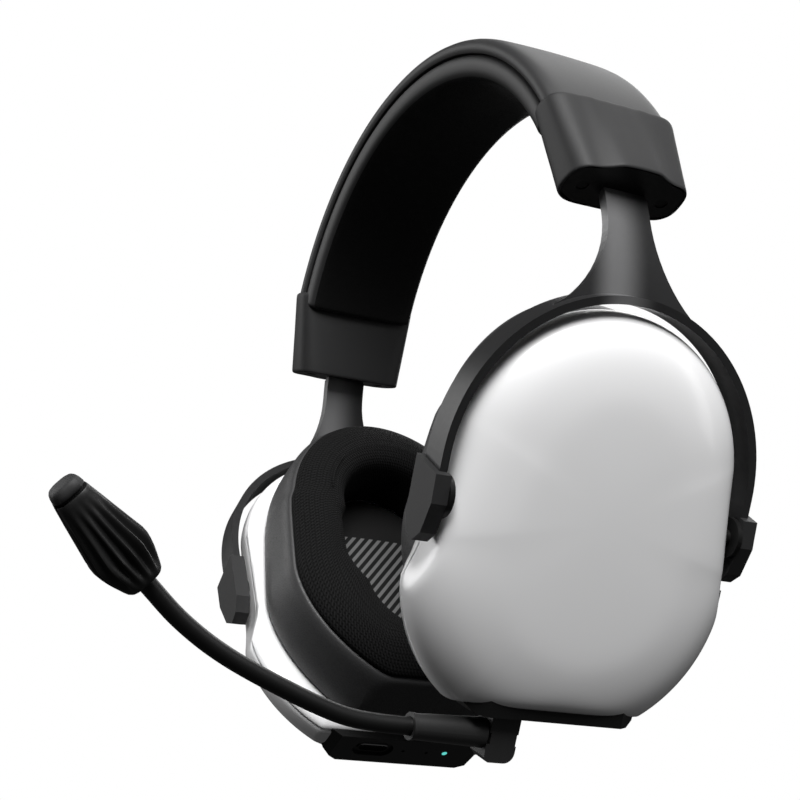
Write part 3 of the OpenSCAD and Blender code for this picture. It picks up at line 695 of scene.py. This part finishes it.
dress(new_finish("socket_painted_light_and_shade", socket_painted_light_and_shade, Metallic=0.9), "usb_socket")


def amber_film(s, place):
    ripples = noise(s, place, 300, 2)
    return {"Base Color": mixed(s, ripples, (0.4, 0.3, 0.14), (0.5, 0.4, 0.22)),
            "Roughness": ripples * 0.1 + 0.3, "Normal": bumped(s, ripples, 0.1, 0.0001)}


dress(new_finish("speaker_film", amber_film), *both("driver_diaphragm"))


def lacquer(s, place):
    tracks = noise(s, place, 400, 1).clamped(0.48, 0.52)
    return {"Base Color": mixed(s, tracks, (0.01, 0.1, 0.04), (0.02, 0.16, 0.07)),
            "Roughness": tracks * 0.1 + 0.35}


def foil(s, place):
    creases = noise(s, place, 150, 5)
    return {"Base Color": mixed(s, creases, (0.35, 0.37, 0.4), (0.5, 0.52, 0.55)),
            "Roughness": creases * 0.2 + 0.3, "Normal": bumped(s, creases, 0.2, 0.0002)}


dress(new_finish("board_lacquer", lacquer), "control_board")
dress(new_finish("battery_foil", foil, Metallic=0.8), "battery")


def lit_lens(s, place):
    glow = noise(s, place, 800, 1)
    teal = mixed(s, glow, (0.08, 0.62, 0.55), (0.16, 0.78, 0.7))
    return {"Base Color": teal, "Emission Color": teal, "Roughness": glow * 0.1 + 0.2}


dress(new_finish("lit_teal", lit_lens, Emission_Strength=0.9), "charge_light")

# ---- Ear cushions ----
# A ring of foam in two covers: grey leatherette round the outside and black sports mesh on the
# face and down the wall of the ear opening. A stitched seam joins them on the outer roll.
def ear_ring(u, d):
    """The ear opening's outline, grown by d, on the same headings."""
    lower, upper = (0, -19, 15 + d), (0, 6.5, 17 + d)
    apart = upper[1] - lower[1]
    side = pi / 2 - np.arccos((lower[2] - upper[2]) / apart)
    half = [(r * cos(a), w + r * sin(a))
            for (v, w, r), start, end in ((lower, -pi / 2, side), (upper, side, pi / 2))
            for a in np.linspace(start, end, 30)]
    ring = np.array(half + [(-v, w) for v, w in reversed(half[:-1])])
    angles = np.unwrap(np.arctan2(*(ring - heart).T[::-1]))
    reach = np.interp(headings, angles, np.linalg.norm(ring - heart, axis=1))
    return [(u, heart[0] + r * cos(a), heart[1] + r * sin(a)) for r, a in zip(reach, headings)]


swing_reach, waist, waist_inset = 54.2, -17, 0.9


def cushion_outline(u, d, b, rise):
    """The cup's outline, narrower to the top and the bottom, and kept inside the swing of the yoke."""
    top = sqrt(swing_reach ** 2 - (u - pivot_u) ** 2) + pivot_w
    drawn_in = waist_inset * min(1, max(0, u - waist) / 5)
    return [(u, v * (0.932 - 0.00008 * max(-4 - w, 0) ** 2 - 0.0013 * max(w, 0)), min(w, top))
            for u, v, w in cup_ring(u, d + drawn_in, b, rise)]


side_steps = [(-2.6, 4.4, 4.6, 0.8), (-2.5, 2.6, 2.8, 0.8), (-2.8, 1.5, 1.7, 1.0), (-4.2, 0.8, 0.8, 1.4),
              (-7.0, 0.7, 0.3, 1.8), (-10.0, 1.1, 0.2, 2.4), (-12.6, 1.7, 0.1, 3.0), (-15.0, 2.5, 0.0, 3.4),
              (-16.8, 3.3, 0.0, 3.7), (-18.0, 4.1, 0.2, 3.9), (-18.5, 4.7, 0.8, 4.0), (-18.6, 5.6, 1.7, 4.0),
              (-18.2, 7.0, 3.1, 4.0)]
side_grid = np.array([[in_cup(*point) for point in cushion_outline(*step)] for step in side_steps])
left_side = sheet_mesh("left_cushion_side_cover", side_grid)
closed_up(left_side, 60)
grey_leather = new_finish("grey_leatherette", leather((0.02, 0.02, 0.0205), (0.036, 0.036, 0.037), 1700, 60),
                          Specular_IOR_Level=0.45)
left_side.data.materials.append(grey_leather)


side_seams, seam_pull = (-17.6, -4.0), 3


def side_hold(spot):
    u = to_cup(spot)[0]
    from_seam = min(u - side_seams[0], side_seams[1] - u)
    return max(0.0, 1 - from_seam / seam_pull) if from_seam > 0 else 1.0


pinned(left_side, "held", side_hold)
puffed(left_side, 1.0, 0.0006, keep="held")
cover_thickness = 0.8 * mm
apply_modifier(left_side, "SOLIDIFY", thickness=cover_thickness, offset=-1)
apply_modifier(left_side, "SUBSURF", levels=1, render_levels=1)

face_outer = [(-18.0, 6.2, 2.4, 4.0), (-19.0, 4.8, 0.9, 4.0), (-20.0, 5.3, 1.4, 4.0), (-21.6, 7.1, 3.4, 4.0),
              (-22.9, 9.6, 6.0, 4.0), (-23.7, 12.2, 8.8, 3.8), (-24.0, 14.8, 11.8, 3.4)]
face_inner = [(-24.0, 4.6), (-23.4, 2.2), (-22.3, 0.5), (-20.6, -0.4), (-18.0, -0.8), (-14.0, -0.9),
              (-10.0, -0.8), (-5.4, -0.4)]
face_rings = [cushion_outline(*step) for step in face_outer] + [ear_ring(*step) for step in face_inner]
face_rows = 34
face_rings = smooth_run(np.array(face_rings).reshape(len(face_rings), -1), face_rows)
face_rings = face_rings.reshape(face_rows, -1, 3)
face_grid = np.array([[in_cup(*point) for point in ring] for ring in face_rings])
left_face = sheet_mesh("left_cushion_mesh_cover", face_grid)
closed_up(left_face, 60)


mesh_pitch = 1.25


def sports_mesh(s, place):
    weave = s.node("SeparateXYZ", None, {"Vector": s.node("UVMap")})
    u, v = weave, Shade(s.tree, weave.socket.node.outputs[1])
    turn = 2 * pi / mesh_pitch
    first = ((u + v) * (turn * 0.72)).sine()
    second = ((u - v) * (turn * 0.72)).sine()
    rib = (u * 0.55 + v) * (turn * 1.5)
    ribs = rib.sine() * 0.5 + 0.5
    holes = (first * second).clamped(0.1, 0.75)
    fuzz = noise(s, place, 3500, 3)
    height = ribs * 0.6 + holes * -0.8 + fuzz * 0.3
    colour = mixed(s, ribs * 0.75 + fuzz * 0.35, (0.001, 0.001, 0.001), (0.012, 0.012, 0.0122))
    return {"Base Color": mixed(s, holes, colour, (0.0015, 0.0015, 0.0015)), "Roughness": fuzz * 0.1 + 0.75,
            "Normal": bumped(s, height, 0.7, 0.00025)}


mesh_black = new_finish("sports_mesh", sports_mesh, Specular_IOR_Level=0.1)
left_face.data.materials.append(mesh_black)


face_seam, face_pull = -19.3, 2.5


def face_hold(spot):
    u = to_cup(spot)[0]
    return 1.0 if u > face_seam else max(0.0, 1 - (face_seam - u) / face_pull)


pinned(left_face, "held", face_hold)
puffed(left_face, 1.2, 0.0009, keep="held")
apply_modifier(left_face, "SOLIDIFY", thickness=cover_thickness, offset=-1)
apply_modifier(left_face, "SUBSURF", levels=1, render_levels=1)

for piece, part in ((left_side, "side"), (left_face, "face")):
    twin = mirrored_copy(piece, piece.name.replace("left", "right"))
    for cover_piece, side in ((piece, "left"), (twin, "right")):
        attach(cover_piece, side + "_cup")
        if part == "side":
            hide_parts(side + "_cushion_side", side + "_cushion_ring")
        else:
            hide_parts(side + "_cushion_face", side + "_cushion_foam")

# ---- Speaker cloth ----
# Thin cloth stretched over the speaker at the bottom of each ear opening. It is printed with
# slanting light stripes. Above a set height the stripes are left out, so the cloth there is plain
# dark: painted shade under the cushion's wall.
stripe_pitch, painted_shade_level, stripe_slant = 2.0 * mm, 8.4 * mm, (0.653, 0.758)


def striped_cloth(s, place):
    parts = s.node("SeparateXYZ", None, {"Vector": place})
    x, y, z = (Shade(s.tree, parts.socket.node.outputs[k]) for k in range(3))
    rise = (x.maths("ABSOLUTE", x) - cup_x * mm) * sin(splay) + (z - cup_z * mm) * cos(splay)
    across = rise * stripe_slant[0] - y * stripe_slant[1]
    stripe = (across * (2 * pi / stripe_pitch)).sine().clamped(0.0, 0.3)
    # Above this height the stripes are left out: the plain dark cloth there is painted shade under the
    # cushion's wall.
    stripe = stripe * (1 - rise.clamped(painted_shade_level, painted_shade_level + 0.2 * mm))
    threads = noise(s, place, 4000, 2)
    plain = mixed(s, threads, (0.004, 0.004, 0.004), (0.012, 0.012, 0.012))
    return {"Base Color": mixed(s, stripe * (threads * 0.3 + 0.75), plain, (0.16, 0.16, 0.16)),
            "Roughness": threads * 0.1 + 0.8, "Normal": bumped(s, threads, 0.4, 0.0001)}


cloth_steps = [(-4.45, -0.6), (-4.85, -0.3), (-5.0, -0.9), (-5.1, -2.2), (-5.25, -4.2), (-5.4, -6.6),
               (-5.5, -9.2), (-5.55, -11.8)]
cloth_rings = [ear_ring(*step) for step in cloth_steps]
last_ring = cloth_rings[-1]
for share in (0.6, 0.25, 0.0):
    cloth_rings.append([(-5.6, v * share, heart[1] + (w - heart[1]) * share) for u, v, w in last_ring])
cloth_grid = np.array([[in_cup(*point) for point in ring] for ring in cloth_rings])
left_cloth = sheet_mesh("left_speaker_cloth", cloth_grid)
closed_up(left_cloth, 60)
left_cloth.data.materials.append(new_finish("striped_cloth", striped_cloth, Specular_IOR_Level=0.2))
cloth_rim, cloth_pull = -4.9, 0.3
pinned(left_cloth, "held", lambda spot: max(0.0, 1 - (cloth_rim - to_cup(spot)[0]) / cloth_pull))
puffed(left_cloth, 0.6, 0.0003, frames=10, keep="held")
apply_modifier(left_cloth, "SOLIDIFY", thickness=0.3 * mm, offset=-1)
right_cloth = mirrored_copy(left_cloth, "right_speaker_cloth")
for piece, side in ((left_cloth, "left"), (right_cloth, "right")):
    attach(piece, side + "_cup")
    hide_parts(side + "_ear_cloth")

# ---- Microphone arm ----
# The microphone plugs in under the left cup: a stepped black elbow, a round barrel with a thin
# ring, and a rubber-covered boom with a bendable core.
mic_u, boom_radius = 4.5, 2.12
boom_path = [(-31.0, -60.85), (-34.5, -60.9), (-43, -60.7), (-51, -59.8), (-59, -57.6), (-67, -54.8),
             (-75, -51.8), (-82, -48.8), (-88.5, -45.4), (-95, -41.2), (-101, -36.4), (-103.3, -34.5)]
line = smooth_run(boom_path, 61)
slope = np.gradient(line, axis=0)
slope /= np.linalg.norm(slope, axis=1, keepdims=True)
boom_grid = []
for (v, w), (tv, tw) in zip(line, slope):
    round_turn = [(boom_radius * sin(a), boom_radius * cos(a)) for a in np.linspace(0, 2 * pi, 25)]
    boom_grid.append([in_cup(mic_u + out, v - side * tw, w + side * tv) for out, side in round_turn])
boom = sheet_mesh("mic_boom", with_ends(boom_grid))
closed_up(boom, 50)
boom.data.materials.append(rubber_black)
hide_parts("mic_boom_lower", "mic_boom_upper")
bend_start, bend_end = (Vector(in_cup(mic_u, *boom_path[k])) * mm for k in (5, 7))
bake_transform(boom)

satin_black = new_finish("satin_black_plastic",
                         moulded((0.018, 0.018, 0.018), (0.036, 0.036, 0.0362), 0.36, strength=0.08))
dress(satin_black, "mic_elbow", "mic_barrel")
soften("mic_elbow", 0.5, 3, 25)
soften("mic_barrel", 0.25, 2)
dress(new_finish("gold_plate", rolled_steel, Metallic=1.0), "mic_plug")

# ---- Microphone capsule ----
# A tapered capsule, slightly flattened, with long flutes along its middle and a smooth rounded
# tip behind a narrow groove. A plain strip runs along its lower side to the tip.
tip_v, tip_w = boom_path[-2]
lie = atan2(19, 23)
flattening, squareness, flutes = 0.9, 2.8, 16


def in_capsule(out, side, along):
    """out is across the arm, side is up, along runs from the boom to the tip."""
    v = tip_v - along * cos(lie) + side * sin(lie)
    w = tip_w + along * sin(lie) + side * cos(lie)
    return in_cup(mic_u + out, v, w)


def capsule_point(along, radius, a, flute=0.0):
    c, d = cos(a), sin(a)
    square = (abs(c) ** squareness + abs(d) ** squareness) ** (-1 / squareness)
    broad = min(1.0, max(0.0, (abs(c) - 0.3) / 0.3))
    r = radius * square * (1 - flute * broad * (0.5 + 0.5 * cos(flutes * a)))
    return in_capsule(r * c * flattening, r * d, along)


def capsule_ring(along, radius, flute):
    return [capsule_point(along, radius, a, flute) for a in np.linspace(0, 2 * pi, 161)]


capsule_steps = [(2.6, 2.3, 0), (2.8, 3.7, 0), (3.0, 4.2, 0), (3.5, 4.65, 0), (4.4, 5.05, 0.02),
                 (5.4, 5.4, 0.08), (6.6, 5.85, 0.15), (8.0, 6.3, 0.19), (9.6, 6.7, 0.21), (11.2, 6.95, 0.22),
                 (12.6, 6.9, 0.22), (14.4, 6.55, 0.21), (16.8, 6.1, 0.2), (19, 5.7, 0.18), (21.2, 5.3, 0.14),
                 (23.2, 4.95, 0.07), (25, 4.6, 0.01), (26.6, 4.3, 0), (27.5, 4.12, 0), (27.7, 4.0, 0),
                 (27.75, 3.4, 0)]
capsule = sheet_mesh("mic_capsule_body", with_ends([capsule_ring(*step) for step in capsule_steps]))
closed_up(capsule, 50)
capsule_grey = new_finish("capsule_plastic", moulded((0.005, 0.005, 0.005), (0.013, 0.013, 0.0132), 0.42),
                          Specular_IOR_Level=0.45)
capsule.data.materials.append(capsule_grey)
tip_steps = [(27.8, 3.2, 0), (28.4, 3.25, 0), (28.45, 3.8, 0), (28.6, 3.93, 0), (29.4, 3.8, 0),
             (30.2, 3.5, 0), (30.7, 3.1, 0), (30.95, 2.5, 0), (31.0, 1.0, 0)]
tip = sheet_mesh("mic_capsule_tip", with_ends([capsule_ring(*step) for step in tip_steps]))
closed_up(tip, 50)
strip_rings = []
for along, radius, flute in [(28.6, 3.85, 0)] + capsule_steps[-3:10:-1]:
    half_turn = 0.22 * min(1, (along - 9) / 12)
    over = [capsule_point(along, radius + 0.12, -pi / 2 + half_turn * k) for k in (-1, -0.5, 0, 0.5, 1)]
    under = [capsule_point(along, radius - 0.9, -pi / 2 + half_turn * k) for k in (1, -1)]
    strip_rings.append(over + under + over[:1])
strip = sheet_mesh("mic_capsule_strip", with_ends(strip_rings))
closed_up(strip, 40)
bpy.ops.object.select_all(action="DESELECT")
strip.select_set(True)
tip.select_set(True)
bpy.context.view_layer.objects.active = tip
bpy.ops.object.join()
tip.data.materials.append(cap_grey)
for piece, node in ((capsule, "mic_capsule"), (tip, "mic_tip")):
    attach(piece, "mic_head")
    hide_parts(node)

# ---- Controls ----
# A ribbed volume wheel and a small key stand out of the left cup's rear edge, and a second key
# out of the right one.
dress(cap_grey, "volume_wheel", "mute_button", "power_button")
for name in ("mute_button", "power_button"):
    soften(name, 0.3, 2)
